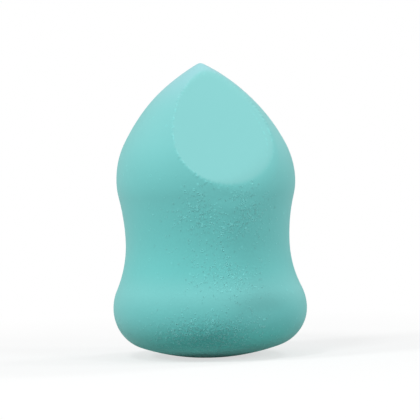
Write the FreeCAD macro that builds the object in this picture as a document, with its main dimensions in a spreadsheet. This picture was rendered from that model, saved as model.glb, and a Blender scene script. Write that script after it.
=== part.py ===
"""A bevelled make-up sponge of the gourd shape, in millimetres.

The sponge is one piece of fine-celled polyurethane foam, round about an upright axis. It has a wide
base, a finger waist, a fuller shoulder and a domed top that ends in a point. One slanting knife cut
takes the front off the dome and leaves a flat oval face, the bevel, for pressing on the skin.

Frame: +Z is up, the origin is the centre of the foot, and the bevel faces -Y and up.
"""

import FreeCAD, Part
import math
import os

import Sketcher
from FreeCAD import Vector

# The driving sizes: name, value and meaning. Lengths are in millimetres and angles in degrees.
SIZES = [
    ("foot_width", "10", "across the small flat that the sponge stands on"),
    ("waist_width", "33.5", "across the finger waist, the narrowest place"),
    ("base_flare", "3.1", "how far the base stands out past the waist, all round"),
    ("shoulder_flare", "1.55", "how far the shoulder stands out past the waist, all round"),
    ("base_height", "9.8", "from the foot up to the base's widest ring"),
    ("base_to_waist", "13.6", "from the base's widest ring up to the waist"),
    ("waist_to_shoulder", "12.6", "from the waist up to the shoulder's widest ring"),
    ("shoulder_to_tip", "24", "from the shoulder's widest ring up to the tip"),
    ("heel_lift", "1.7", "how far the rounded heel stays above the foot"),
    ("base_turn_share", "0.3", "where the outline turns hollow, as a share of the way to the waist"),
    ("shoulder_turn_share", "0.26", "the same, from the shoulder's ring down to the waist"),
    ("dome_start_share", "0.32", "where the dome begins, as a share of the way up to the tip"),
    ("dome_draw_in", "1.85", "how far the outline has drawn in where the dome begins"),
    ("tip_radius", "1.3", "the round over the tip"),
    ("bevel_tilt", "31.5", "how far the bevel leans back from upright"),
    ("bevel_setback", "2.8", "how far in front of the axis the bevel's plane passes, level with the tip"),
    ("bevel_edge_radius", "0.4", "the soft edge all round the bevel"),
    ("knife_overrun", "3", "how far the knife's path reaches past the foam"),
]

# The heights that add up to the tip's height.
HEIGHTS = ("base_height", "base_to_waist", "waist_to_shoulder", "shoulder_to_tip")

# Numbers of the points of an edge, and of a drawing's own level axis, which starts at its root.
START, END, CENTRE = range(1, 4)
LEVEL_AXIS = -1
ROOT = (LEVEL_AXIS, START)


def make_sheet(doc):
    """The table of driving sizes."""
    sheet = doc.addObject("Spreadsheet::Sheet", "Sizes")
    sheet.Label = "Sizes"
    for row, (name, value, meaning) in enumerate(SIZES, 1):
        sheet.set(f"A{row}", name)
        sheet.set(f"B{row}", value)
        sheet.set(f"C{row}", meaning)
        sheet.setAlias(f"B{row}", name)
    doc.recompute()
    return sheet


def new_sketch(body, name, role):
    """An empty drawing of the body, flat on its origin plane of that role."""
    sketch = body.newObject("Sketcher::SketchObject", name)
    plane = next(item for item in body.Origin.OriginFeatures if item.Role == role)
    sketch.AttachmentSupport = [(plane, "")]
    sketch.MapMode = "FlatFace"
    return sketch


def relate(sketch, kind, *places):
    """Adds a relation, such as Coincident or Tangent, between places of the drawing."""
    sketch.addConstraint(Sketcher.Constraint(kind, *places))


def bind(sketch, kind, places, value, name, formula):
    """Adds a dimension to the drawing and ties it to a formula in the driving sizes."""
    index = sketch.addConstraint(Sketcher.Constraint(kind, *places, value))
    sketch.renameConstraint(index, name)
    sketch.setExpression(f"Constraints.{name}", formula)


def level_centre(ring, joint):
    """Centre of the arc that is upright at a ring and runs from there to a joint."""
    chord = joint - ring
    return ring + Vector(chord.dot(chord) / (2 * chord.x), 0, 0)


def underside(foot, heel, heel_radius):
    """Centre and radius of the underside's shallow dome.

    The dome is centred on the axis, passes the foot's edge and touches the heel's arc from outside. The
    two conditions leave one quadratic equation, whose larger root is the dome's radius.
    """
    excess = heel.dot(heel) - foot.dot(foot) - heel_radius**2
    squared = heel.y**2 - heel_radius**2
    single = excess * heel_radius
    constant = (heel.y * foot.x) ** 2 + excess**2 / 4
    radius = (single + math.sqrt(single**2 + 4 * squared * constant)) / (2 * squared)
    return Vector(0, math.sqrt(radius**2 - foot.x**2), 0), radius


def dome_centre(joint, shoulder_centre, tip_centre, tip_radius):
    """Centre of the dome's arc, which leaves the shoulder's arc smoothly and wraps the tip's arc."""
    outward = (joint - shoulder_centre).normalize()
    offset = joint - tip_centre
    radius = (offset.dot(offset) - tip_radius**2) / (2 * (offset.dot(outward) - tip_radius))
    return joint - outward * radius


def outline_places(size):
    """The joints and arc centres of half the gourd outline, with x across and y up.

    The base, the waist and the shoulder each have a ring where the outline is upright, so the arcs that
    meet there have their centres level with it. Between two such rings the outline turns from bulging
    to hollow at a joint on the straight line between them.
    """
    foot = Vector(size("foot_width") / 2, 0, 0)
    waist = Vector(size("waist_width") / 2, size("base_height") + size("base_to_waist"), 0)
    base = Vector(waist.x + size("base_flare"), size("base_height"), 0)
    shoulder = Vector(waist.x + size("shoulder_flare"), waist.y + size("waist_to_shoulder"), 0)
    tip = Vector(0, shoulder.y + size("shoulder_to_tip"), 0)

    base_turn = base + (waist - base) * size("base_turn_share")
    shoulder_turn = shoulder + (waist - shoulder) * size("shoulder_turn_share")
    dome_start = shoulder + Vector(
        -size("dome_draw_in"), size("shoulder_to_tip") * size("dome_start_share"), 0
    )

    heel_radius = size("base_height") - size("heel_lift")
    heel_centre = base - Vector(heel_radius, 0, 0)
    under_centre, under_radius = underside(foot, heel_centre, heel_radius)
    heel_start = under_centre + (heel_centre - under_centre).normalize() * under_radius

    shoulder_centre = level_centre(shoulder, dome_start)
    tip_centre = tip - Vector(0, size("tip_radius"), 0)
    long_centre = dome_centre(dome_start, shoulder_centre, tip_centre, size("tip_radius"))
    tip_start = tip_centre + (tip_centre - long_centre).normalize() * size("tip_radius")

    return {
        "foot": foot,
        "under_centre": under_centre,
        "heel_start": heel_start,
        "heel_centre": heel_centre,
        "base": base,
        "base_centre": level_centre(base, base_turn),
        "base_turn": base_turn,
        "low_waist_centre": level_centre(waist, base_turn),
        "waist": waist,
        "high_waist_centre": level_centre(waist, shoulder_turn),
        "shoulder_turn": shoulder_turn,
        "low_shoulder_centre": level_centre(shoulder, shoulder_turn),
        "shoulder": shoulder,
        "shoulder_centre": shoulder_centre,
        "dome_start": dome_start,
        "long_centre": long_centre,
        "tip_start": tip_start,
        "tip_centre": tip_centre,
        "tip": tip,
    }


# The outline's arcs from the foot up: where each one starts, its centre, where it ends, and whether it
# bulges. Where the last column names a ring, the arc is upright there, level with its centre.
ARCS = [
    ("foot", "under_centre", "heel_start", True, None),
    ("heel_start", "heel_centre", "base", True, "base"),
    ("base", "base_centre", "base_turn", True, "base"),
    ("base_turn", "low_waist_centre", "waist", False, "waist"),
    ("waist", "high_waist_centre", "shoulder_turn", False, "waist"),
    ("shoulder_turn", "low_shoulder_centre", "shoulder", True, "shoulder"),
    ("shoulder", "shoulder_centre", "dome_start", True, "shoulder"),
    ("dome_start", "long_centre", "tip_start", True, None),
    ("tip_start", "tip_centre", "tip", True, None),
]

# Joints where one arc runs smoothly into the next. At the rings the level centres see to that.
SMOOTH_JOINTS = ("heel_start", "base_turn", "shoulder_turn", "dome_start", "tip_start")

# Arcs that are centred on the axis.
AXIS_CENTRES = ("under_centre", "tip_centre")


def add_arc(sketch, start, centre, end, bulges):
    """Adds an arc and returns the edge with the numbers of its lower and upper end.

    An arc always runs anticlockwise, so a hollow one is drawn from its upper end.
    """
    circle = Part.Circle(centre, Vector(0, 0, 1), (start - centre).Length)
    first, last = (start, end) if bulges else (end, start)
    arc = Part.ArcOfCircle(circle, circle.parameter(first), circle.parameter(last))
    edge = sketch.addGeometry(arc, False)
    return (edge, START, END) if bulges else (edge, END, START)


def draw_outline(sketch, size):
    """Draws half the gourd outline: up the axis, out along the foot and up nine smooth arcs."""
    at = outline_places(size)
    origin = Vector(0, 0, 0)
    axis = sketch.addGeometry(Part.LineSegment(at["tip"], origin), False)
    flat = sketch.addGeometry(Part.LineSegment(origin, at["foot"]), False)
    relate(sketch, "Coincident", axis, END, *ROOT)
    relate(sketch, "Coincident", flat, START, *ROOT)
    relate(sketch, "Vertical", axis)
    relate(sketch, "Horizontal", flat)

    joints = {"foot": (flat, END)}
    centres = {}
    for start, centre, end, bulges, ring in ARCS:
        edge, low, high = add_arc(sketch, at[start], at[centre], at[end], bulges)
        kind = "Tangent" if start in SMOOTH_JOINTS else "Coincident"
        relate(sketch, kind, *joints[start], edge, low)
        joints[end] = (edge, high)
        centres[centre] = edge
        if ring:
            relate(sketch, "Horizontal", edge, CENTRE, edge, low if ring == start else high)
    relate(sketch, "Coincident", *joints["tip"], axis, START)
    for centre in AXIS_CENTRES:
        relate(sketch, "PointOnObject", centres[centre], CENTRE, axis)

    for name, start, end, formula in [
        ("foot_half", None, "foot", "Sizes.foot_width / 2"),
        ("waist_half", None, "waist", "Sizes.waist_width / 2"),
        ("base_flare", "waist", "base", "Sizes.base_flare"),
        ("shoulder_flare", "waist", "shoulder", "Sizes.shoulder_flare"),
        ("dome_draw_in", "dome_start", "shoulder", "Sizes.dome_draw_in"),
    ]:
        first, last = at.get(start, origin), at[end]
        places = (*joints.get(start, ROOT), *joints[end])
        bind(sketch, "DistanceX", places, last.x - first.x, name, formula)

    for name, start, end, formula in [
        ("base_height", None, "base", "Sizes.base_height"),
        ("base_turn", "base", "base_turn", "Sizes.base_to_waist * Sizes.base_turn_share"),
        ("base_to_waist", "base", "waist", "Sizes.base_to_waist"),
        ("waist_to_shoulder", "waist", "shoulder", "Sizes.waist_to_shoulder"),
        ("shoulder_turn", "shoulder_turn", "shoulder",
         "Sizes.waist_to_shoulder * Sizes.shoulder_turn_share"),
        ("dome_start", "shoulder", "dome_start", "Sizes.shoulder_to_tip * Sizes.dome_start_share"),
        ("shoulder_to_tip", "shoulder", "tip", "Sizes.shoulder_to_tip"),
    ]:
        first, last = at.get(start, origin), at[end]
        places = (*joints.get(start, ROOT), *joints[end])
        bind(sketch, "DistanceY", places, last.y - first.y, name, formula)

    heel_radius = (at["base"] - at["heel_centre"]).Length
    bind(sketch, "Radius", (centres["heel_centre"],), heel_radius, "heel_radius",
         "Sizes.base_height - Sizes.heel_lift")
    bind(sketch, "Radius", (centres["tip_centre"],), size("tip_radius"), "tip_radius", "Sizes.tip_radius")
    return at


def make_gourd(doc, body, size):
    """The whole gourd, its half outline taken once round the upright axis."""
    sketch = new_sketch(body, "GourdOutline", "XZ_Plane")
    at = draw_outline(sketch, size)
    doc.recompute()
    gourd = body.newObject("PartDesign::Revolution", "Gourd")
    gourd.Profile = sketch
    gourd.ReferenceAxis = (sketch, ["V_Axis"])
    gourd.Angle = 360
    body.Tip = gourd
    doc.recompute()
    return gourd, at


def cut_bevel(doc, body, size, at):
    """Cuts the slanting flat off the front of the dome, right across the sponge.

    The drawing shows the sponge from its side, with the front to the left. What the knife takes away is
    the triangle between its slanting path, a level line above the tip and an upright in front.
    """
    sketch = new_sketch(body, "KnifePath", "YZ_Plane")
    lean = math.radians(size("bevel_tilt"))
    overrun = size("knife_overrun")
    rise = Vector(math.sin(lean), math.cos(lean), 0)
    beside_tip = Vector(-size("bevel_setback"), at["tip"].y, 0)
    front = at["base"].x + overrun
    high = beside_tip + rise * (overrun / rise.y)
    low = beside_tip - rise * ((front - size("bevel_setback")) / rise.x)
    corner = Vector(-front, high.y, 0)

    path = sketch.addGeometry(Part.LineSegment(low, high), False)
    level = sketch.addGeometry(Part.LineSegment(high, corner), False)
    upright = sketch.addGeometry(Part.LineSegment(corner, low), False)
    mark = sketch.addGeometry(Part.Point(beside_tip), True)
    relate(sketch, "Coincident", path, END, level, START)
    relate(sketch, "Coincident", level, END, upright, START)
    relate(sketch, "Coincident", upright, END, path, START)
    relate(sketch, "Horizontal", level)
    relate(sketch, "Vertical", upright)
    relate(sketch, "PointOnObject", mark, START, path)

    tip_height = " + ".join(f"Sizes.{name}" for name in HEIGHTS)
    bind(sketch, "Angle", (path, START, upright, END), lean, "tilt", "Sizes.bevel_tilt * 1 deg")
    bind(sketch, "DistanceX", (mark, START, *ROOT), size("bevel_setback"), "setback",
         "Sizes.bevel_setback")
    bind(sketch, "DistanceY", (*ROOT, mark, START), beside_tip.y, "tip_height", tip_height)
    bind(sketch, "DistanceY", (mark, START, path, END), overrun, "above", "Sizes.knife_overrun")
    bind(sketch, "DistanceX", (upright, END, *ROOT), front, "front",
         "Sizes.waist_width / 2 + Sizes.base_flare + Sizes.knife_overrun")
    doc.recompute()

    bevel = body.newObject("PartDesign::Pocket", "Bevel")
    bevel.Profile = sketch
    bevel.Type = "ThroughAll"
    bevel.Midplane = True
    body.Tip = bevel
    doc.recompute()
    return bevel


def soften_bevel(doc, body, bevel):
    """Rounds the edge all round the bevel, where the knife left the foam soft."""
    flats = {
        f"Face{number}": face.CenterOfMass.z
        for number, face in enumerate(bevel.Shape.Faces, 1)
        if isinstance(face.Surface, Part.Plane)
    }
    highest = max(flats, key=flats.get)
    soft = body.newObject("PartDesign::Fillet", "SoftEdge")
    soft.Base = (bevel, [highest])
    soft.setExpression("Radius", "Sizes.bevel_edge_radius")
    body.Tip = soft
    doc.recompute()


def make_sponge_body(doc, size):
    """The sponge's one piece of foam."""
    body = doc.addObject("PartDesign::Body", "sponge_body")
    body.Label = "sponge_body"
    gourd, at = make_gourd(doc, body, size)
    bevel = cut_bevel(doc, body, size, at)
    if bevel.Shape.Volume >= gourd.Shape.Volume:
        raise ValueError("the knife took nothing off the gourd")
    soften_bevel(doc, body, bevel)
    return body


def check(doc, bodies):
    """Stops if anything in the document failed, or a piece isn't one closed, valid solid."""
    for item in doc.Objects:
        if "Invalid" in item.State or "Error" in item.State:
            raise ValueError(f"{item.Name} failed: {item.State}")
    for body in bodies:
        shape = body.Shape
        if shape.isNull() or not shape.isValid() or len(shape.Solids) != 1:
            raise ValueError(f"{body.Label} isn't one valid solid")


def main():
    doc = FreeCAD.newDocument("MakeupSponge")
    sheet = make_sheet(doc)

    def size(name):
        return float(sheet.get(name))

    bodies = [make_sponge_body(doc, size)]
    doc.recompute()
    check(doc, bodies)
    os.makedirs("parts", exist_ok=True)
    for body in bodies:
        body.Shape.exportStep(f"parts/{body.Label}.step")
        box = body.Shape.optimalBoundingBox()
        print(
            f"{body.Label}: {box.XLength:.2f} x {box.YLength:.2f} x {box.ZLength:.2f} mm, "
            f"{body.Shape.Volume:.0f} mm3, {len(body.Shape.Faces)} faces"
        )


main()
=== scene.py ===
# %% [markdown]
# # A gourd-shaped make-up sponge
#
# The real thing is one block of soft, open-celled foam: a wide base that fits the palm, a waist for
# thumb and fingers, a domed top that ends in a point, and one flat bevel cut slanting across that
# top. There is nothing else to it, so everything rests on three things: a true outline, a clean cut
# with a slightly ragged edge, and foam that looks soft, matt and full of tiny cells.
#
# The measured solid comes first. It is loaded as a fixed frame, and all that is made below fits it.

# %% Load the frame
from itertools import product

import bpy
import numpy as np
from mathutils import Matrix, Vector


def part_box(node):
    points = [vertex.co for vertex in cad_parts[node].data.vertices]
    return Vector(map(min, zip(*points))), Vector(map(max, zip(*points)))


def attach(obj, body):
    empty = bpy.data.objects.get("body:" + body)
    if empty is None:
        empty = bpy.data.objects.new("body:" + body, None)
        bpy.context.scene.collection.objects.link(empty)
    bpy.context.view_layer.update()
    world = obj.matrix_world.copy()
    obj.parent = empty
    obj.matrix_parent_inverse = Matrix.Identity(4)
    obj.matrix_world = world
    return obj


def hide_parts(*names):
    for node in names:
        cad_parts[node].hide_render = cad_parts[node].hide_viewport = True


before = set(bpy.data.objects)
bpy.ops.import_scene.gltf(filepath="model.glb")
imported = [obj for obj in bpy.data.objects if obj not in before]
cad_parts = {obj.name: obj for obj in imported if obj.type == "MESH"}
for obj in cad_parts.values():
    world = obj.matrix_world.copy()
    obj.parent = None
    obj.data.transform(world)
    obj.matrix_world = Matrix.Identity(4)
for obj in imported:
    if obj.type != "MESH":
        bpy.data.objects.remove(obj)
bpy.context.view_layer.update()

foot_corner, crown_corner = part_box("sponge_body")
print("frame nodes:", list(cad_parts), "box:", foot_corner, crown_corner)

# %% [markdown]
# ## Driving sizes
#
# Height and girth are read from the frame. The other sizes are those of the solid's outline, in
# metres: three rings (base, waist and shoulder) at their heights and widths, and what joins them.
# Shares place the joints between two arcs on the straight line from ring to ring.

# %% Sizes
HEIGHT = crown_corner.z - foot_corner.z
BASE_RADIUS = crown_corner.x
BASE_FLARE = 0.0031            # how far the base ring stands out past the waist
SHOULDER_FLARE = 0.00155       # how far the shoulder ring stands out past the waist
BASE_HEIGHT = 0.0098
WAIST_HEIGHT = 0.0234
SHOULDER_HEIGHT = 0.036
FOOT_RADIUS = 0.005            # the small flat that the foam's weight presses on the table
HEEL_LIFT = 0.0017             # height at which the heel's round would reach down
BASE_TURN_SHARE = 0.3
SHOULDER_TURN_SHARE = 0.26
DOME_START_SHARE = 0.32
DOME_DRAW_IN = 0.00185
TIP_RADIUS = 0.0013
BEVEL_TILT = np.radians(31.5)  # from upright
BEVEL_SETBACK = 0.0028         # from the axis to the cut, level with the tip

WAIST_RADIUS = BASE_RADIUS - BASE_FLARE
SHOULDER_RADIUS = WAIST_RADIUS + SHOULDER_FLARE
print(f"height {HEIGHT:.4f} m, base {BASE_RADIUS:.5f} m, waist {WAIST_RADIUS:.5f} m")

# %% [markdown]
# ## Camera
#
# The camera comes before the shapes, so that every later step can be judged from where the
# photograph was taken. A long lens from 0.4 m away looks almost level, a little to the left of the
# bevel's own direction, and is rolled slightly, because in the picture the sponge leans to the
# left.

# %% Place the camera
CAMERA_AZIMUTH = np.radians(-17.7)
CAMERA_RISE = np.radians(0.9)
CAMERA_REACH = 0.4
CAMERA_ROLL = np.radians(-1.5)
AIM_HEIGHT = 0.02986
AIM_OFFSET = 0.00068           # the sponge stands this far left of the picture's middle
PICTURE_WIDTH = 0.0861         # how much the picture takes in at the sponge's axis
SENSOR_WIDTH = 36              # in millimetres, as lenses are
NEAREST_SEEN = 0.01

right = Vector((np.cos(CAMERA_AZIMUTH), np.sin(CAMERA_AZIMUTH), 0))
towards = Vector((np.sin(CAMERA_AZIMUTH), -np.cos(CAMERA_AZIMUTH), 0))


def make_camera():
    """Aim a long lens at the sponge: the lens is sensor width times distance over picture width."""
    data = bpy.data.cameras.new("camera")
    data.sensor_width = SENSOR_WIDTH
    data.lens = data.sensor_width * CAMERA_REACH / PICTURE_WIDTH
    data.clip_start = NEAREST_SEEN
    camera = bpy.data.objects.new("camera", data)
    bpy.context.scene.collection.objects.link(camera)
    aim = Vector((0, 0, AIM_HEIGHT)) + right * AIM_OFFSET
    away = towards * np.cos(CAMERA_RISE) + Vector((0, 0, np.sin(CAMERA_RISE)))
    turn = away.to_track_quat("Z", "Y").to_matrix() @ Matrix.Rotation(CAMERA_ROLL, 3, "Z")
    camera.matrix_world = Matrix.Translation(aim + away * CAMERA_REACH) @ turn.to_4x4()
    bpy.context.scene.camera = camera
    return camera


camera = make_camera()
print(f"lens {camera.data.lens:.1f} mm, camera at {tuple(round(v, 4) for v in camera.location)}")

# %% [markdown]
# ## Outline
#
# A moulded foam shape has no corners except where it was cut, so its outline is a chain of arcs,
# each running smoothly into the next. It could be drawn as a spline through measured points, but
# then every point is a chance for a dent. Nine arcs between three rings need only the sizes above.

# %% Helpers for arcs
ARC_POINTS = 500
FOOT_POINTS = 100


def level_radius(ring, joint):
    """Radius of an arc that is upright at a ring and goes through a joint.

    Its centre is level with the ring, so the radius is the squared distance from ring to joint,
    divided by twice the difference of their widths.
    """
    across, up = joint - ring
    return (across**2 + up**2) / (2 * abs(across))


def arc_points(centre, start, end):
    """Points along an arc, whose angle about the centre runs evenly and the short way."""
    first, last = start - centre, end - centre
    angle = np.arctan2(first[1], first[0])
    turn = (np.arctan2(last[1], last[0]) - angle + np.pi) % (2 * np.pi) - np.pi
    sweep = angle + turn * np.linspace(0, 1, ARC_POINTS)
    return centre + np.hypot(*first) * np.stack([np.cos(sweep), np.sin(sweep)], axis=1)


# %% The outline from foot to tip
def underside_centre(foot, heel, heel_radius):
    """Height of the centre of the arc under the base, which lies on the axis.

    The arc passes the foot's edge and touches the heel's circle from inside. Taking one condition
    from the other leaves radius = gain * height - offset, and the first then becomes a quadratic.
    """
    gain = heel[1] / heel_radius
    offset = (heel @ heel - foot @ foot - heel_radius**2) / (2 * heel_radius)
    square, line, rest = gain**2 - 1, -2 * gain * offset, offset**2 - foot @ foot
    height = (-line + np.sqrt(line**2 - 4 * square * rest)) / (2 * square)
    return np.array([0, height])


def sponge_outline():
    """Nine arcs and the foot, as (radius, height) rows from the foot's middle up to the tip."""
    foot = np.array([FOOT_RADIUS, 0])
    base = np.array([BASE_RADIUS, BASE_HEIGHT])
    waist = np.array([WAIST_RADIUS, WAIST_HEIGHT])
    shoulder = np.array([SHOULDER_RADIUS, SHOULDER_HEIGHT])
    low_joint = base + BASE_TURN_SHARE * (waist - base)
    high_joint = shoulder + SHOULDER_TURN_SHARE * (waist - shoulder)
    dome_rise = DOME_START_SHARE * (HEIGHT - SHOULDER_HEIGHT)
    dome_start = shoulder + np.array([-DOME_DRAW_IN, dome_rise])

    heel_radius = BASE_HEIGHT - HEEL_LIFT
    heel = base - np.array([heel_radius, 0])
    below = underside_centre(foot, heel, heel_radius)
    heel_start = below + (heel - below) * np.hypot(*(foot - below)) / np.hypot(*(heel - below))

    across = np.array([1, 0])
    base_centre = base - across * level_radius(base, low_joint)
    low_waist = waist + across * level_radius(waist, low_joint)
    high_waist = waist + across * level_radius(waist, high_joint)
    low_shoulder = shoulder - across * level_radius(shoulder, high_joint)
    shoulder_centre = shoulder - across * level_radius(shoulder, dome_start)

    tip = np.array([0, HEIGHT])
    tip_centre = tip - np.array([0, TIP_RADIUS])
    outward = (dome_start - shoulder_centre) / np.hypot(*(dome_start - shoulder_centre))
    span = dome_start - tip_centre
    dome_radius = (span @ span - TIP_RADIUS**2) / (2 * (span @ outward - TIP_RADIUS))
    dome_centre = dome_start - outward * dome_radius
    lift = tip_centre - dome_centre
    dome_end = tip_centre + TIP_RADIUS * lift / np.hypot(*lift)

    return np.concatenate([
        np.linspace([0, 0], foot, FOOT_POINTS),
        arc_points(below, foot, heel_start),
        arc_points(heel, heel_start, base),
        arc_points(base_centre, base, low_joint),
        arc_points(low_waist, low_joint, waist),
        arc_points(high_waist, waist, high_joint),
        arc_points(low_shoulder, high_joint, shoulder),
        arc_points(shoulder_centre, shoulder, dome_start),
        arc_points(dome_centre, dome_start, dome_end),
        arc_points(tip_centre, dome_end, tip),
    ])


outline = sponge_outline()
print(f"outline: widest {outline[:, 0].max():.5f} m, top {outline[-1].round(6)}")

# %% [markdown]
# ## Where the knife went
#
# The bevel is one straight cut. A plane is enough to say where: it passes in front of the tip by
# the setback, and slants outward and down. Its low and high ends are where the plane crosses the
# outline in the sponge's middle section, and the bevel's middle lies halfway between them.

# %% The cutting plane
PLANE_POINT = np.array([0, -BEVEL_SETBACK, HEIGHT])
PLANE_NORMAL = np.array([0, -np.cos(BEVEL_TILT), np.sin(BEVEL_TILT)])
PLANE_UP = np.array([0, np.sin(BEVEL_TILT), np.cos(BEVEL_TILT)])

stand_off = outline[:, 0] - (BEVEL_SETBACK + (HEIGHT - outline[:, 1]) * np.tan(BEVEL_TILT))
crossings = np.flatnonzero(np.diff(np.sign(stand_off)) != 0)
bevel_ends = outline[crossings[[0, -1]]]
bevel_middle = np.array([0, -bevel_ends[:, 0].mean(), bevel_ends[:, 1].mean()])
print("bevel ends (radius, height):", bevel_ends.round(5).tolist())

# %% [markdown]
# ## A grid that follows the cut
#
# The plain way to mesh a turned shape is rings about its upright axis. The bevel's edge would then
# cut across the grid and come out as a saw. Here the rings start at the middle of the bevel instead
# and spread from there over the whole sponge, like ripples from a dropped stone, so one ring can
# lie exactly on the cut's edge. Each point is found by looking out from a heart inside the foam:
# how far out the skin is depends only on how steeply one looks up or down, and the cut is a plane,
# so the nearer of the two is the surface.
#
# The blade didn't quite keep to its plane. It ran a fifth of a millimetre too deep, leaned a degree
# to the side and along its way, and twisted as it went. Four small numbers say so.

# %% Distance from the heart to the surface
HEART = np.array([0, 0, 0.5 * HEIGHT])
FAR_AWAY = 10 * HEIGHT         # the distance given to a direction that never meets the cut
LEAST_FACING = 0.05            # cosine below which a direction misses the plane
WANDER_LIMIT = 0.018           # no more wander than at this distance from the bevel's middle
CUT_DEEPER = 0.000186
CUT_TURN = 0.0161              # slope, across the bevel
CUT_NOD = 0.0189               # slope, along it
CUT_TWIST = 1.76               # slope across, per metre along

heart_rise = np.arctan2(outline[:, 1] - HEART[2], outline[:, 0])
heart_reach = np.hypot(outline[:, 0], outline[:, 1] - HEART[2])
assert np.all(np.diff(heart_rise) > -1e-9), "the outline must be in plain view of the heart"


def skin_reach(way):
    """Distance to the uncut skin in unit directions: looked up by how steeply each one rises."""
    return np.interp(np.arcsin(np.clip(way[..., 2], -1, 1)), heart_rise, heart_reach)


def cut_reach(way):
    """Distance to the cut: the heart's distance from the plane over the cosine to its normal.

    Less what the blade wandered: a depth, plus a slope times each distance from the bevel's middle,
    plus the twist times the product of the two.
    """
    facing = way @ PLANE_NORMAL
    depth = (PLANE_POINT - HEART) @ PLANE_NORMAL
    straight = depth / np.maximum(facing, LEAST_FACING)
    spot = np.clip(HEART + straight[..., None] * way - bevel_middle, -WANDER_LIMIT, WANDER_LIMIT)
    across, along = spot[..., 0], spot @ PLANE_UP
    wandered = CUT_DEEPER + CUT_TURN * across + CUT_NOD * along + CUT_TWIST * across * along
    return np.where(facing > LEAST_FACING, straight - wandered, FAR_AWAY)


def soft_least(a, b, softness):
    """The lesser of two lengths, rounded where they are nearly equal.

    Where they differ by less than the softness, the square of what is missing, divided by four
    times the softness, is taken off.
    """
    near = np.maximum(softness - np.abs(a - b), 0)
    return np.minimum(a, b) - near**2 / (4 * softness)


# %% [markdown]
# ## What a knife does to foam
#
# Foam gives way under the blade, so the edge of the cut isn't the same all round. Most of it is
# crisp, but at the lower right the foam was dragged along and the edge rolled over, and at the
# upper right the blade only skimmed the skin and left the edge blunt. How far the two surfaces melt
# into each other is therefore a function of the angle around the bevel: 0 is its right side, a
# quarter turn its high end.

# %% The edge of the cut, by angle
CRISP_EDGE = 0.00012           # how far skin and cut melt into each other where the blade went in
ROLLED_EDGE = 0.0021           # and where it came out
ROLLED_SIDE = np.radians(-58)
ROLLED_WIDTH = np.radians(42)
BLUNT_EDGE = 0.0011            # and where it only just skimmed the skin, at the upper right
BLUNT_SIDE = np.radians(62)
BLUNT_WIDTH = np.radians(38)


def angle_bell(around, middle, width):
    """1 at an angle and falling off as a bell on both sides of it, all the way round."""
    off = (around - middle + np.pi) % (2 * np.pi) - np.pi
    return np.exp(-(off / width)**2)


def edge_softness(around):
    """Crisp all round but for two bells, where the edge rolled over and where it is blunt."""
    rolled = (ROLLED_EDGE - CRISP_EDGE) * angle_bell(around, ROLLED_SIDE, ROLLED_WIDTH)
    blunt = (BLUNT_EDGE - CRISP_EDGE) * angle_bell(around, BLUNT_SIDE, BLUNT_WIDTH)
    return CRISP_EDGE + rolled + blunt


# %% Meridians from the bevel's middle to the far side
SIDES = 56                     # rings in each end patch; a ring has eight times as many points
AROUND = 8 * SIDES
FINE_STEPS = 900

pole = (bevel_middle - HEART) / np.linalg.norm(bevel_middle - HEART)
sideways = np.array([1, 0, 0])
upward = np.cross(pole, sideways)


def directions(polar, around):
    """Unit directions at a polar angle from the bevel's middle and an angle around it."""
    ring = np.cos(around)[..., None] * sideways + np.sin(around)[..., None] * upward
    return np.cos(polar)[..., None] * pole + np.sin(polar)[..., None] * ring


def surface_points(polar, around):
    """Heart plus distance times direction, with the nearer of skin and cut as the distance."""
    way = directions(polar, around)
    reach = soft_least(skin_reach(way), cut_reach(way), edge_softness(around))
    return HEART + reach[..., None] * way


polar_fine, around_fine = np.meshgrid(np.linspace(0, np.pi, FINE_STEPS),
                                      2 * np.pi * np.arange(AROUND) / AROUND, indexing="ij")
meridians = surface_points(polar_fine, around_fine)
steps = np.linalg.norm(np.diff(meridians, axis=0), axis=2)
travelled = np.concatenate([np.zeros((1, AROUND)), np.cumsum(steps, axis=0)])
fine_ways = directions(polar_fine, around_fine)
cut_side = skin_reach(fine_ways) > cut_reach(fine_ways)
edge_at = np.take_along_axis(travelled, cut_side.sum(axis=0)[None, :] - 1, axis=0)[0]
print(f"bevel half widths {1000 * edge_at.min():.2f} to {1000 * edge_at.max():.2f} mm, "
      f"meridians {1000 * travelled[-1].min():.1f} to {1000 * travelled[-1].max():.1f} mm")

# %% Rings: where they lie along every meridian
EDGE_BAND = 0.0006             # close rings this far on both sides of the cut's edge
EDGE_RINGS = 14
FAR_PATCH_SHARE = 0.27         # share of the way from edge to far side that the end patch covers
BELT_RINGS = 148


def ring_distances():
    """How far each ring lies along each meridian, ring by ring from the bevel's middle.

    Four stretches, each divided evenly: the bevel inside the edge band, the band itself, the belt
    round the body, and the patch on the far side.
    """
    whole = travelled[-1]
    inner, outer = edge_at - EDGE_BAND, edge_at + EDGE_BAND
    patch = whole - FAR_PATCH_SHARE * (whole - outer)
    stretches = [(0 * inner, inner, SIDES), (inner, outer, EDGE_RINGS),
                 (outer, patch, BELT_RINGS), (patch, whole, SIDES)]
    rows = [start + (end - start) * np.arange(count)[:, None] / count
            for start, end, count in stretches]
    return np.concatenate(rows + [whole[None, :]])


def polar_at(distance):
    """Polar angle at a distance along each meridian, by looking it up among the fine steps.

    All meridians are laid end to end with a gap between them, so that one lookup serves them all.
    """
    lane = 10 * HEIGHT * np.arange(AROUND)
    return np.interp((distance + lane).T.ravel(), (travelled + lane).T.ravel(),
                     polar_fine.T.ravel()).reshape(AROUND, -1).T


ring_polar = polar_at(ring_distances())
RINGS = len(ring_polar) - 1
print("rings:", RINGS, "points on a ring:", AROUND)

# %% [markdown]
# ## End patches without a pinch
#
# Rings that shrink to a point pinch the mesh into slivers. The two ends are therefore covered by a
# square sheet each: its rings are squares with eight points more from one to the next, laid round,
# so the middle is an ordinary grid of four-sided faces. Both sheets end in a ring with as many
# points as the belt between them.

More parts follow.
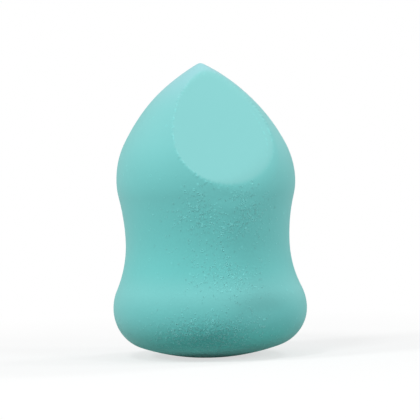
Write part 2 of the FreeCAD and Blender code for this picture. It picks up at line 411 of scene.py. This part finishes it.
# %% Number the points and weave the faces
def square_sheet():
    """Ring and place on the ring for each point of a square sheet.

    The ring is the larger of its distances from the middle, across and along.
    """
    i, j = np.meshgrid(np.arange(-SIDES, SIDES + 1), np.arange(-SIDES, SIDES + 1), indexing="ij")
    ring = np.maximum(abs(i), abs(j))
    on_side = [(i == ring) & (j > -ring), (j == ring) & (i < ring), (i == -ring) & (j < ring)]
    place = np.select(on_side, [j + ring, 3 * ring - i, 5 * ring - j], 7 * ring + i)
    return ring, place % np.maximum(8 * ring, 1)


def face_corners(sheet, turned):
    """The four corners of each face of a sheet. Turned faces begin one corner further back.

    A face is split between its first and third corner, and in the corners of a square ring only the
    split from the inner to the outer ring is sound.
    """
    corners = np.stack([sheet[:-1, :-1], sheet[1:, :-1], sheet[1:, 1:], sheet[:-1, 1:]], axis=-1)
    turned = np.asarray(turned)[..., None]
    return np.where(turned, np.roll(corners, 1, axis=-1), corners).reshape(-1, 4)


def weave():
    """Ring number, angle around and faces of the grid, from the bevel's middle to the far side."""
    sheet_ring, sheet_place = square_sheet()
    ring_sizes = np.full(RINGS + 1, AROUND)
    ring_sizes[:SIDES + 1] = np.maximum(8 * np.arange(SIDES + 1), 1)
    ring_sizes[RINGS - SIDES:] = ring_sizes[SIDES::-1]
    first = np.concatenate([[0], np.cumsum(ring_sizes)])

    ring = np.repeat(np.arange(RINGS + 1), ring_sizes)
    around = 2 * np.pi * (np.arange(first[-1]) - first[ring]) / ring_sizes[ring]

    near = first[sheet_ring] + sheet_place
    far = first[RINGS - sheet_ring] + sheet_place
    place = np.arange(AROUND)
    belt = first[SIDES:RINGS - SIDES + 1, None] + place
    belt = np.concatenate([belt, belt[:, :1]], axis=1)
    middle = np.arange(2 * SIDES) - SIDES + 0.5
    askew = middle[:, None] * middle < 0
    faces = [face_corners(near, askew), face_corners(far[::-1], askew), face_corners(belt, False)]
    return ring, around, np.concatenate(faces)


ring_of, around_of, faces = weave()
print("points:", len(ring_of), "triangles:", 2 * len(faces))

# %% Look up the points
def at_points(table):
    """A table of rings by angles, read at every point: its ring's row, at its own angle around."""
    column = around_of * AROUND / (2 * np.pi)
    low = np.floor(column).astype(int)
    share = column - low
    return (1 - share) * table[ring_of, low % AROUND] + share * table[ring_of, (low + 1) % AROUND]


points = surface_points(at_points(ring_polar), around_of)
from_edge = at_points(ring_distances() - edge_at)   # along the surface, below zero on the bevel


def outward_normals(points):
    """Unit normals: the cross product of each face's diagonals, added up at its four corners."""
    a, b, c, d = (points[faces[:, corner]] for corner in range(4))
    face = np.cross(c - a, d - b)
    total = np.stack([np.bincount(faces.ravel(), np.repeat(face[:, axis], 4), len(points))
                      for axis in range(3)], axis=1)
    return total / np.linalg.norm(total, axis=1)[:, None]


normals = outward_normals(points)
inward = (normals * (points - HEART)).sum(axis=1) < 0
print("normals that point inwards:", int(inward.sum()))

# %% [markdown]
# ## What a lathe would not leave
#
# Moulded foam is never quite true. This one leans a hair to one side towards the tip and its base
# has settled to the other, its skin swells and sinks by less than a tenth of a millimetre, and here
# and there a large cell is open to the air. All of it could be painted on as bump, but then the
# outline and the cut's edge would stay perfect, so the larger part of it is in the mesh. Unevenness
# is a sum of waves in seeded directions, and the open cells are little balls scooped out of the
# skin, one in each cube of a loose lattice.

# %% Swelling and open cells
LEAN = 0.00055                 # how far the tip stands off the axis
LEAN_START = 0.032
BASE_SHIFT = 0.00023           # how far the base has settled to the other side, most at this height
BASE_SHIFT_HEIGHT = 0.0064
BASE_SHIFT_SPREAD = 0.006
SWELL_LENGTH = 0.016
SWELL_HEIGHT = 0.00003
CUT_SWELL_HEIGHT = 0.00002
LEAST_WAVE, MOST_WAVE = 0.7, 1.4     # of the waves' usual length
PIT_SPACING = 0.0021
PIT_RADIUS = 0.00032
PIT_DEPTH = 0.00004
PIT_LATTICE = 32               # cubes along each side before the lattice repeats
SMALLEST_PIT = 0.6             # of the usual radius
PIT_SPREAD = 0.8               # and up to this much more


def swell(points, length, seed, waves=28):
    """A smooth uneven field of about unit height.

    The sum of sine waves of nearly one length that run in seeded directions with seeded phases,
    divided by the root of half their number.
    """
    draw = np.random.default_rng(seed)
    way = draw.normal(size=(3, waves))
    way = way / np.linalg.norm(way, axis=0)
    pace = 2 * np.pi / (length * draw.uniform(LEAST_WAVE, MOST_WAVE, waves))
    phase = draw.uniform(0, 2 * np.pi, waves)
    return np.sin(points @ (way * pace) + phase).sum(axis=1) / np.sqrt(waves / 2)


def smooth_share(value, start, end):
    """From 0 at start to 1 at end, level at both: three times the square less twice the cube."""
    share = np.clip((value - start) / (end - start), 0, 1)
    return share * share * (3 - 2 * share)


def pits(points, spacing, radius, openness, seed):
    """How deep each point lies in an open cell, from 0 to 1.

    Space is a lattice of cubes, each with one ball at a seeded place and of a seeded size. A cube's
    ball counts only where its own seeded number is below the local openness. The depth is one less
    the squared distance over the ball's radius squared. The deepest of the 27 nearest balls wins.
    """
    draw = np.random.default_rng(seed).random((PIT_LATTICE, PIT_LATTICE, PIT_LATTICE, 5))
    cube = np.floor(points / spacing).astype(int)
    deepest = np.zeros(len(points))
    for step in product((-1, 0, 1), repeat=3):
        near = cube + step
        luck = draw[tuple((near % PIT_LATTICE).T)]
        gap = np.linalg.norm(points - (near + luck[:, :3]) * spacing, axis=1)
        size = radius * (SMALLEST_PIT + PIT_SPREAD * luck[:, 3])
        depth = np.maximum(1 - (gap / size)**2, 0)
        deepest = np.maximum(deepest, np.where(luck[:, 4] < openness, depth, 0))
    return deepest


# %% [markdown]
# ## Where a hand has been
#
# A used sponge isn't the same all over. Thumb and fingers have opened its cells, so the front has
# two soft spots of coarser foam and the back has the same two. The low spot that rubs on the table
# is coarse too. Each place is a soft patch, a bell in turn about the axis times a bell in height,
# and one number per point says how open the cells are there, for the mesh and the material alike.

# %% Where thumb and fingers have opened the cells
# A spot has a strength, a turn from the bevel's direction, a width, a height and a reach up and
# down.
THUMB_SPOTS = [(1.0, np.radians(-10), np.radians(26), 0.0290, 0.0053),
               (0.5, np.radians(-3), np.radians(21), 0.0160, 0.0046)]
RUB_TURN = np.radians(-19)     # the low spot that rubs on the table when the sponge is put down
RUB_WIDTH = np.radians(27)
RUB_HEIGHT = 0.0058
RUB_REACH = 0.0032
FULL_TURN = np.radians(8)      # the foam just below the bevel, which every dab squeezes
FULL_WIDTH = np.radians(34)
FULL_HEIGHT = 0.0290
FULL_REACH_UP = 0.0060
FULL_REACH_DOWN = 0.0120
SKIM_REACH = 0.0012            # how far past its blunt edge the blade has opened the skin
ROLLED_INSET = 0.0005          # the rolled edge has lost this much of the cut's pale face
ROLLED_FADE = 0.0004           # and fades out over this much more
CUT_FADE = 0.0003
UNEVEN_LENGTH = 0.009          # a held spot is uneven over about this distance
LEAST_OPEN = 0.35              # where it is least open, as a share of its strength
UNEVEN_SHARE = 1.1             # and up to this much more
RUB_OPENS = 1.5
OPEN_ANYWHERE = 0.03
CUT_CLOSES = 0.85              # the knife's face shows this much less of it


def patch(points, turn, width, height, reach_up, reach_down):
    """A soft patch on the side: a bell in turn about the axis times one in height.

    The bell in height may be wider below its middle than above it.
    """
    about = np.arctan2(points[:, 0], -points[:, 1])
    over = points[:, 2] - height
    reach = np.where(over > 0, reach_up, reach_down)
    return angle_bell(about, turn, width) * np.exp(-(over / reach)**2)


rolled = angle_bell(around_of, ROLLED_SIDE, ROLLED_WIDTH)
skimmed = SKIM_REACH * angle_bell(around_of, BLUNT_SIDE, BLUNT_WIDTH)
faded = ROLLED_FADE * rolled + skimmed
inside_cut = skimmed - ROLLED_INSET * rolled - from_edge
cut_face = smooth_share(inside_cut, -CUT_FADE - faded, CUT_FADE + faded)
patchy = 0.5 + 0.5 * np.clip(swell(points, UNEVEN_LENGTH, seed=11), -1, 1)
held = sum(strength * patch(points, turn + side, width, height, reach, reach)
           for strength, turn, width, height, reach in THUMB_SPOTS for side in (0, np.pi))
openness = held * (LEAST_OPEN + UNEVEN_SHARE * patchy)
rubbed = patch(points, RUB_TURN, RUB_WIDTH, RUB_HEIGHT, RUB_REACH, RUB_REACH)
full = patch(points, FULL_TURN, FULL_WIDTH, FULL_HEIGHT, FULL_REACH_UP, FULL_REACH_DOWN)
openness = openness + RUB_OPENS * rubbed
openness = (OPEN_ANYWHERE + (1 - OPEN_ANYWHERE) * openness) * (1 - CUT_CLOSES * cut_face)
print(f"openness {openness.min():.2f} to {openness.max():.2f}, "
      f"cut face points {int(cut_face.sum())}")

# %% [markdown]
# ## A ragged edge and a pressed base
#
# Close to, the knife left the edge of the bevel a little ragged, with a thin lip inside it that
# comes and goes and catches the light, and a second one on the right. The lips' crests are also
# painted paler, as a painted highlight. Both lines are sums of sines with whole numbers of waves,
# so they close up all round. A palm has flattened one side of the base, and the foam just below the
# bevel, which every dab squeezes, stands out by less than a millimetre.

# %% Lips, raggedness and the flattened side
RAGGED = 0.00011               # how far the edge wanders in the plane of the cut
RAGGED_REACH = 0.00035
RAGGED_WAVES = (18, 110)       # fewest and most all round
LIP_WAVES = (9, 60)
LIP_SHOWS = 0.4                # how much of the uneven line lies above zero
LIP_CAP = 1.2
LIP_HEIGHT = 0.00006
LIP_PLACE = -0.00012           # how far inside the edge
LIP_WIDTH = 0.00014
SECOND_LIP_PLACE = -0.0014
SECOND_LIP_SHARE = 0.6
LEFT_LIP = np.radians(185)
LEFT_LIP_WIDTH = np.radians(45)
RIGHT_LIP = np.radians(-2)
RIGHT_LIP_WIDTH = np.radians(28)
PRESS_TURN = np.radians(18)    # where the base is flattened
PRESS_WIDTH = np.radians(17)
PRESS_HEIGHT = 0.0094
PRESS_REACH_UP = 0.0036
PRESS_REACH_DOWN = 0.006
PRESS_DEPTH = 0.001
FULL_RISE = 0.00074            # how far the foam just below the bevel is pushed out
FULL_START = 0.0048            # all of it this far from the cut's edge


def closed_waves(around, fewest, most, seed, waves=24):
    """An uneven line of about unit height round the bevel: sines with whole numbers of waves."""
    draw = np.random.default_rng(seed)
    counts = draw.integers(fewest, most, waves)[:, None]
    phases = draw.uniform(0, 2 * np.pi, waves)[:, None]
    return np.sin(counts * around + phases).sum(axis=0) / np.sqrt(waves / 2)


def knife_lip(place, seed):
    """A ridge at a distance from the edge: a bell across it times an uneven line, never below 0."""
    broken = np.clip(closed_waves(around_of, *LIP_WAVES, seed) + LIP_SHOWS, 0, LIP_CAP)
    return LIP_HEIGHT * broken * np.exp(-((from_edge - place) / LIP_WIDTH)**2)


wander = RAGGED * closed_waves(around_of, *RAGGED_WAVES, seed=21)
wander = wander * np.exp(-(from_edge / RAGGED_REACH)**2)
outward = points - bevel_middle
outward = outward - (outward @ PLANE_NORMAL)[:, None] * PLANE_NORMAL
outward = outward / np.maximum(np.linalg.norm(outward, axis=1), 1e-6)[:, None]
left_lip = angle_bell(around_of, LEFT_LIP, LEFT_LIP_WIDTH)
right_lip = angle_bell(around_of, RIGHT_LIP, RIGHT_LIP_WIDTH)
ridge = knife_lip(LIP_PLACE, seed=8) * (left_lip + SECOND_LIP_SHARE * right_lip)
ridge = ridge + SECOND_LIP_SHARE * knife_lip(SECOND_LIP_PLACE, seed=13) * right_lip
knife_marks = ((1 - rolled) * wander)[:, None] * outward + ridge[:, None] * PLANE_NORMAL
# Where the lips stand, the foam is painted paler: a painted highlight.
lip_highlight = np.clip(ridge / LIP_HEIGHT, 0, 1)
print(f"lips up to {1000 * ridge.max():.3f} mm, "
      f"edge wanders up to {1000 * abs(wander).max():.3f} mm")

# %% The finished surface of the sponge
PITS_FROM = 0.08               # openness at which the first large cells are open
SWELL_FOOT = 0.004             # the foot lies flat, and the swell is whole from this height
PRESS_FOOT = (0.001, 0.006)
LEAN_CURVE = 1.25

pit = pits(points, PIT_SPACING, PIT_RADIUS, openness - PITS_FROM, seed=5)
height_change = SWELL_HEIGHT * (1 - cut_face) + CUT_SWELL_HEIGHT * cut_face
height_change = height_change * swell(points, SWELL_LENGTH, seed=3)
height_change = height_change * smooth_share(points[:, 2], 0, SWELL_FOOT)
pressed = patch(points, PRESS_TURN, PRESS_WIDTH, PRESS_HEIGHT, PRESS_REACH_UP, PRESS_REACH_DOWN)
pressed = pressed * smooth_share(points[:, 2], *PRESS_FOOT)
pushed_out = full * smooth_share(from_edge, 0, FULL_START)
height_change = height_change - PIT_DEPTH * pit - PRESS_DEPTH * pressed + FULL_RISE * pushed_out
skin = points + height_change[:, None] * normals + knife_marks
lean_share = np.clip((skin[:, 2] - LEAN_START) / (HEIGHT - LEAN_START), 0, 1)**LEAN_CURVE
settled = np.exp(-((skin[:, 2] - BASE_SHIFT_HEIGHT) / BASE_SHIFT_SPREAD)**2)
skin = skin + (BASE_SHIFT * settled - LEAN * lean_share)[:, None] * np.array(right)
skin[:, 2] = np.maximum(skin[:, 2], 0)
print("sponge box (mm):", (1000 * skin.min(axis=0)).round(2), (1000 * skin.max(axis=0)).round(2))


# %% Put it into a mesh
def add_surface(name, points, faces, attributes):
    """A smooth mesh object from whole arrays, with one number per point for each attribute."""
    mesh = bpy.data.meshes.new(name)
    mesh.vertices.add(len(points))
    mesh.vertices.foreach_set("co", points.astype(np.float32).ravel())
    mesh.loops.add(faces.size)
    mesh.loops.foreach_set("vertex_index", faces.astype(np.int32).ravel())
    mesh.polygons.add(len(faces))
    mesh.polygons.foreach_set("loop_start", np.arange(0, faces.size, 4, dtype=np.int32))
    mesh.update(calc_edges=True)
    mesh.shade_smooth()
    for label, values in attributes.items():
        layer = mesh.attributes.new(label, "FLOAT", "POINT")
        layer.data.foreach_set("value", values.astype(np.float32))
    piece = bpy.data.objects.new(name, mesh)
    bpy.context.scene.collection.objects.link(piece)
    return piece


sponge = add_surface("foam_sponge", skin, faces,
                     {"openness": openness, "cut_face": cut_face, "pit": pit, "lip_highlight": lip_highlight,
                      "rubbed": rubbed})
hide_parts("sponge_body")
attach(sponge, "root")
print("faces:", len(sponge.data.polygons), "valid:", not sponge.data.validate())

# %% [markdown]
# ## Shader maths as plain sums
#
# A material is a tree of nodes, and wiring one by hand hides the idea behind it. The small class
# below wraps one socket. Adding, subtracting or multiplying two of them adds the Math node, so a
# pattern can be read as a formula. Every other node comes from its one method.

# %% A socket that can be calculated with
class Pattern:
    """A socket of a node tree. Arithmetic on it adds Math nodes; node() adds any other node."""

    def __init__(self, tree, socket=None):
        self.tree, self.socket = tree, socket

    def node(self, kind, settings, sockets, out=0):
        """Add a node: first its settings, then a value or a link for each socket, by identifier."""
        made = self.tree.nodes.new(kind)
        for name, value in settings.items():
            setattr(made, name, value)
        for name, value in sockets.items():
            target = next(s for s in made.inputs if name in (s.identifier, s.name))
            if isinstance(value, Pattern):
                self.tree.links.new(value.socket, target)
            else:
                target.default_value = value
        if isinstance(out, str):
            source = next(s for s in made.outputs if s.identifier == out)
        else:
            source = made.outputs[out] if made.outputs else None
        return Pattern(self.tree, source)

    def math(self, operation, first, second):
        """Add a Math node for two values or sockets."""
        return self.node("ShaderNodeMath", {"operation": operation},
                         {"Value": first, "Value_001": second})

    def __add__(self, other):
        return self.math("ADD", self, other)

    def __radd__(self, other):
        return self.math("ADD", other, self)

    def __sub__(self, other):
        return self.math("SUBTRACT", self, other)

    def __rsub__(self, other):
        return self.math("SUBTRACT", other, self)

    def __mul__(self, other):
        return self.math("MULTIPLY", self, other)

    def __rmul__(self, other):
        return self.math("MULTIPLY", other, self)

    def ramp(self, start, end):
        """0 below start, 1 above end and smooth between; with start above end it falls instead."""
        return self.node("ShaderNodeMapRange", {"interpolation_type": "SMOOTHSTEP"},
                         {"Value": self, "From Min": start, "From Max": end})

    def tint(self, low, high):
        """A colour between two colours, by this pattern."""
        return self.node("ShaderNodeMix", {"data_type": "RGBA"},
                         {"Factor_Float": self, "A_Color": low, "B_Color": high}, "Result_Color")


def new_material(name):
    """An empty node material and a Pattern to start its tree from."""
    material = bpy.data.materials.new(name)
    material.use_nodes = True
    material.node_tree.nodes.clear()
    return material, Pattern(material.node_tree)


# %% [markdown]
# ## Foam
#
# Close to, the foam is a matt skin of tiny cells, most of them closed. An open one is a dark hole
# with a lit rim of broken cell wall, up to three quarters of a millimetre across; the dark and the
# lit come partly from relief and partly from painted shade and painted highlight. Where the sponge
# was held more of them are open, and the knife's face shows few; the held and rubbed spots are
# drawn a little darker, as painted shade. The colour isn't even either: painted highlights make it
# paler towards the top and the tip, on the cut and in a band round the base, where the light falls,
# and painted shade makes it deeper underneath. The cut face has a tone of its own as well. A
# picture of foam would stretch and repeat. Worked out in space, the cells run through the block, as
# they do in the real one.

# %% Foam colours
FOAM = (0.158, 0.622, 0.604, 1)
FOAM_TOP_HIGHLIGHT = (0.229, 0.644, 0.637, 1)
FOAM_TIP_HIGHLIGHT = (0.300, 0.655, 0.695, 1)
# the cut face has a tone of its own, made paler here as a painted highlight
FOAM_CUT_AND_HIGHLIGHT = (0.240, 0.655, 0.646, 1)
FOAM_BAND_HIGHLIGHT = (0.194, 0.633, 0.619, 1)
FOAM_UNDER_SHADE = (0.055, 0.545, 0.488, 1)
# painted shade: the colour that holes, pits and the held and rubbed spots are drawn to
CELL_SHADE = (0.000, 0.400, 0.390, 1)
# painted highlight: the colour that the rims and the knife's lips are drawn to
CELL_WALL_HIGHLIGHT = (0.300, 0.980, 0.960, 1)
TOP_HIGHLIGHT_START = 0.026             # painted highlight: paler from this height up, where the light falls
TOP_HIGHLIGHT_END = 0.052
TIP_HIGHLIGHT_START = 0.049              # painted highlight, paler still towards the tip
BAND_HIGHLIGHT_START = 0.008             # painted highlight: a pale band where the base stands out and faces up
BAND_HIGHLIGHT_PLACE = 0.0135
BAND_HIGHLIGHT_END = 0.019
UNDER_SHADE_START = 0.0092             # painted shade: darker below this one, where less light reaches
UNDER_SHADE_END = 0.0022
print("foam:", FOAM[:3], "paler from", TOP_HIGHLIGHT_START, "m up, deeper from", UNDER_SHADE_START, "m down")

# %% Open cells
HOLE_FLOOR = 0.12              # from a cell's centre, as shares of its width
HOLE_END = 0.28
RIM_TOP = 0.34
RIM_END = 0.48
OPEN_SOFTNESS = 0.05           # a cell whose number is this near the share is partly open
WIDE_CELL = 0.00078
WIDE_SHARE = 0.36              # share of the wide cells that are open where openness is 1
WIDE_START = 0.01              # less this: in untouched foam one in twenty is half open at most
SMALL_CELL = 0.00045
SMALL_SHARE = 0.86
SMALL_START = 0.03


def open_cells(start, place, width, share):
    """Open cells of about one width, where a cell's own number is below a share: hole and rim.

    The hole is what lies close to the cell's centre, and the rim is the ring just outside it.
    """
    sockets = {"Vector": place, "Scale": 1 / width, "Randomness": 1.0}
    distance = start.node("ShaderNodeTexVoronoi", {}, sockets, "Distance")
    luck = start.node("ShaderNodeTexVoronoi", {}, sockets, "Color")
    number = start.node("ShaderNodeSeparateColor", {}, {"Color": luck}, "Red")
    is_open = (share - number).ramp(-OPEN_SOFTNESS, OPEN_SOFTNESS)
    hole = distance.ramp(HOLE_END, HOLE_FLOOR) * is_open
    return hole, distance.ramp(RIM_END, RIM_TOP) * is_open - hole


print(f"open cells {1000 * WIDE_CELL:.2f} and {1000 * SMALL_CELL:.2f} mm wide")

# %% Foam finish
GRAIN_SCALE = 1600
GRAIN_DETAIL = 3
HOLE_TINT = 0.25               # how far each of these draws the colour to the cells' shade
PIT_TINT = 0.05
HELD_TINT = 0.03
RUBBED_TINT = 0.07
WIDE_RIM_TINT = 0.33           # and each of these to the cells' lit walls, as painted highlight
SMALL_RIM_TINT = 0.40
LIP_HIGHLIGHT_TINT = 0.3
CUT_HIDES_HOLES = 0.7
CUT_HIDES_RIMS = 0.8
ROUGHNESS = 0.86
GRAIN_ROUGHNESS = 0.16
HOLE_GLOSS = 0.1
GRAIN_HEIGHT = 0.000009
GRAIN_ANYWHERE = 0.35
GRAIN_WHERE_OPEN = 17
RIM_HEIGHT = 0.00016
HOLE_DEPTH = 0.00002
SPECULAR = 0.14
SHEEN = 0.29                   # the loose ends of cell walls catch light that grazes them
SHEEN_ROUGHNESS = 0.6


def foam_material():
    """Foam: tints by height and cut, holes and rims where it is open, and a fine relief."""
    material, start = new_material("teal_foam")
    place = start.node("ShaderNodeTexCoord", {}, {}, "Object")
    opened, cut, pit_floor, lip_highlight, rubbed = (
        start.node("ShaderNodeAttribute", {"attribute_name": name}, {}, "Fac")
        for name in ("openness", "cut_face", "pit", "lip_highlight", "rubbed"))

    height = start.node("ShaderNodeSeparateXYZ", {}, {"Vector": place}, "Z")
    grain = start.node("ShaderNodeTexNoise", {},
                       {"Vector": place, "Scale": GRAIN_SCALE, "Detail": GRAIN_DETAIL}, "Fac")
    wide_hole, wide_rim = open_cells(start, place, WIDE_CELL, opened * WIDE_SHARE - WIDE_START)
    small_hole, small_rim = open_cells(start, place, SMALL_CELL, opened * SMALL_SHARE - SMALL_START)

    # Painted highlight: paler towards the top, where the light falls.
    skin = height.ramp(TOP_HIGHLIGHT_START, TOP_HIGHLIGHT_END).tint(FOAM, FOAM_TOP_HIGHLIGHT)
    # Painted highlight, paler still towards the tip.
    skin = height.ramp(TIP_HIGHLIGHT_START, HEIGHT).tint(skin, FOAM_TIP_HIGHLIGHT)
    # Painted highlight in a band round the base, where it faces up to the light.
    band_highlight = height.ramp(BAND_HIGHLIGHT_END, BAND_HIGHLIGHT_PLACE) * height.ramp(BAND_HIGHLIGHT_START, BAND_HIGHLIGHT_PLACE)
    skin = band_highlight.tint(skin, FOAM_BAND_HIGHLIGHT)
    # Painted shade: darker underneath.
    skin = height.ramp(UNDER_SHADE_START, UNDER_SHADE_END).tint(skin, FOAM_UNDER_SHADE)
    # The cut face's own tone, paler as a painted highlight.
    colour = cut.tint(skin, FOAM_CUT_AND_HIGHLIGHT)
    # Painted shade: the holes and pits, then the held and rubbed spots, draw the colour towards the
    # cells' shade.
    hollow = wide_hole * HOLE_TINT + small_hole * HOLE_TINT + pit_floor * PIT_TINT
    hollow = hollow * (1 - cut * CUT_HIDES_HOLES)
    # Painted highlight: the rims and the lips along the cut draw the colour towards the cells' lit
    # walls.
    rims = (wide_rim * WIDE_RIM_TINT + small_rim * SMALL_RIM_TINT) * (1 - cut * CUT_HIDES_RIMS)
    colour = (hollow + opened * HELD_TINT + rubbed * RUBBED_TINT).tint(colour, CELL_SHADE)
    colour = (rims + lip_highlight * LIP_HIGHLIGHT_TINT).tint(colour, CELL_WALL_HIGHLIGHT)
    rough = ROUGHNESS + (grain - 0.5) * GRAIN_ROUGHNESS - hollow * HOLE_GLOSS
    relief = grain * GRAIN_HEIGHT * (GRAIN_ANYWHERE + opened * GRAIN_WHERE_OPEN)
    holes = (wide_hole + small_hole) * HOLE_DEPTH * (1 - cut * CUT_HIDES_RIMS)
    relief = relief + rims * RIM_HEIGHT - holes
    bump = start.node("ShaderNodeBump", {},
                      {"Strength": 1, "Distance": 1, "Height": relief}, "Normal")
    foam = start.node("ShaderNodeBsdfPrincipled", {}, {
        "Base Color": colour, "Roughness": rough, "Normal": bump, "Specular IOR Level": SPECULAR,
        "Sheen Weight": SHEEN, "Sheen Roughness": SHEEN_ROUGHNESS}, "BSDF")
    start.node("ShaderNodeOutputMaterial", {}, {"Surface": foam})
    return material


sponge.data.materials.append(foam_material())
print("foam nodes:", len(sponge.active_material.node_tree.nodes))

# %% [markdown]
# ## Floor and background
#
# A white background could be had by more light, but that would bleach the foam. Instead the floor
# and the world are white only to rays that come from the camera or a reflection. Light that bounces
# from the floor sees a grey one, which leaves the underside of the sponge as dark as it should be,
# and right under the sponge it sees a small pale card, which keeps the lowest part from going
# black. Near the sponge the floor takes its shade from the lamps, so that the shadow stays.

# %% Floor and world
FLOOR_SIZE = 3.0
FLOOR_BOUNCE = (0.39, 0.39, 0.39, 1)
CARD_BOUNCE = (0.93, 0.93, 0.93, 1)
CARD_START = 0.0215            # the card fades in from here towards the sponge's axis
CARD_END = 0.007
FLOOR_LIT = (0.95, 0.95, 0.95, 1)
SHADOW_START = 0.14            # the floor takes on shade from here towards the axis
SHADOW_END = 0.04
SHADOW_STRENGTH = 0.35
AMBIENT = 0.39


def seen_directly(start):
    """1 for rays that show the background as it looks: from the camera, a reflection or glass."""
    path = [start.node("ShaderNodeLightPath", {}, {}, kind)
            for kind in ("Is Camera Ray", "Is Glossy Ray", "Is Transmission Ray")]
    return start.node("ShaderNodeMath", {"operation": "MAXIMUM"}, {
        "Value": start.node("ShaderNodeMath", {"operation": "MAXIMUM"},
                            {"Value": path[0], "Value_001": path[1]}), "Value_001": path[2]})


def floor_material():
    """White where seen directly, but for the shadow near the sponge, and grey to bounced light."""
    material, start = new_material("pale_floor")
    place = start.node("ShaderNodeTexCoord", {}, {}, "Object")
    reach = start.node("ShaderNodeVectorMath", {"operation": "LENGTH"}, {"Vector": place}, "Value")
    shaded = reach.ramp(SHADOW_START, SHADOW_END) * SHADOW_STRENGTH
    white = start.node("ShaderNodeEmission", {}, {"Color": (1, 1, 1, 1), "Strength": 1})
    lit = start.node("ShaderNodeBsdfDiffuse", {}, {"Color": FLOOR_LIT})
    bounce = reach.ramp(CARD_START, CARD_END).tint(FLOOR_BOUNCE, CARD_BOUNCE)
    dull = start.node("ShaderNodeBsdfDiffuse", {}, {"Color": bounce})
    look = start.node("ShaderNodeMixShader", {},
                      {"Fac": shaded, "Shader": white, "Shader_001": lit})
    both = start.node("ShaderNodeMixShader", {},
                      {"Fac": seen_directly(start), "Shader": dull, "Shader_001": look})
    start.node("ShaderNodeOutputMaterial", {}, {"Surface": both})
    return material


corner = 0.5 * FLOOR_SIZE
floor_points = np.array([[-corner, -corner, 0], [corner, -corner, 0], [corner, corner, 0],
                         [-corner, corner, 0]])
floor = add_surface("floor", floor_points, np.array([[0, 1, 2, 3]]), {})
floor.data.materials.append(floor_material())

world = bpy.data.worlds.new("studio")
world.use_nodes = True
world.node_tree.nodes.clear()
bpy.context.scene.world = world
sky = Pattern(world.node_tree)
strength = seen_directly(sky) * (1 - AMBIENT) + AMBIENT
backdrop = sky.node("ShaderNodeBackground", {}, {"Color": (1, 1, 1, 1), "Strength": strength})
sky.node("ShaderNodeOutputWorld", {}, {"Surface": backdrop})
bpy.context.scene.view_settings.view_transform = "Standard"

# %% [markdown]
# ## Lamps
#
# Five soft boxes, as for a catalogue picture, all equally large and equally far away, so that only
# their places and powers differ. The main one stands on the left and a second one higher up and
# further to the front. Three weaker ones on the right, from the front round to the back, lift that
# side out of the shade. Two lamps would do for a round body, but with five each side's tone can be
# set without changing the others much.

# %% Soft boxes
LAMP_REACH = 0.6
LAMP_SIZE = 0.12
LAMPS = [("key", -81, 30, 1.30),     # name, azimuth, rise and power
         ("top_front", -48, 50, 0.88),
         ("right_front", 27, 35, 0.41),
         ("right_side", 57, 20, 0.73),
         ("right_back", 102, 50, 0.60)]


def soft_box(name, azimuth, rise, power):
    """A square lamp that faces the sponge's middle from an azimuth and a rise, both in degrees.

    Azimuth 0 looks along +Y, as the camera's does, so the lamp stands at the sine and the negative
    cosine of its azimuth.
    """
    data = bpy.data.lights.new(name, "AREA")
    data.shape = "SQUARE"
    data.size = LAMP_SIZE
    data.energy = power
    lamp = bpy.data.objects.new(name, data)
    bpy.context.scene.collection.objects.link(lamp)
    turn, lift = np.radians(azimuth), np.radians(rise)
    away = Vector((np.sin(turn) * np.cos(lift), -np.cos(turn) * np.cos(lift), np.sin(lift)))
    lamp.location = Vector((0, 0, 0.5 * HEIGHT)) + away * LAMP_REACH
    lamp.rotation_euler = away.to_track_quat("Z", "Y").to_euler()
    return lamp


lamps = [soft_box(*lamp) for lamp in LAMPS]
print("lamps:", [lamp.name for lamp in lamps])
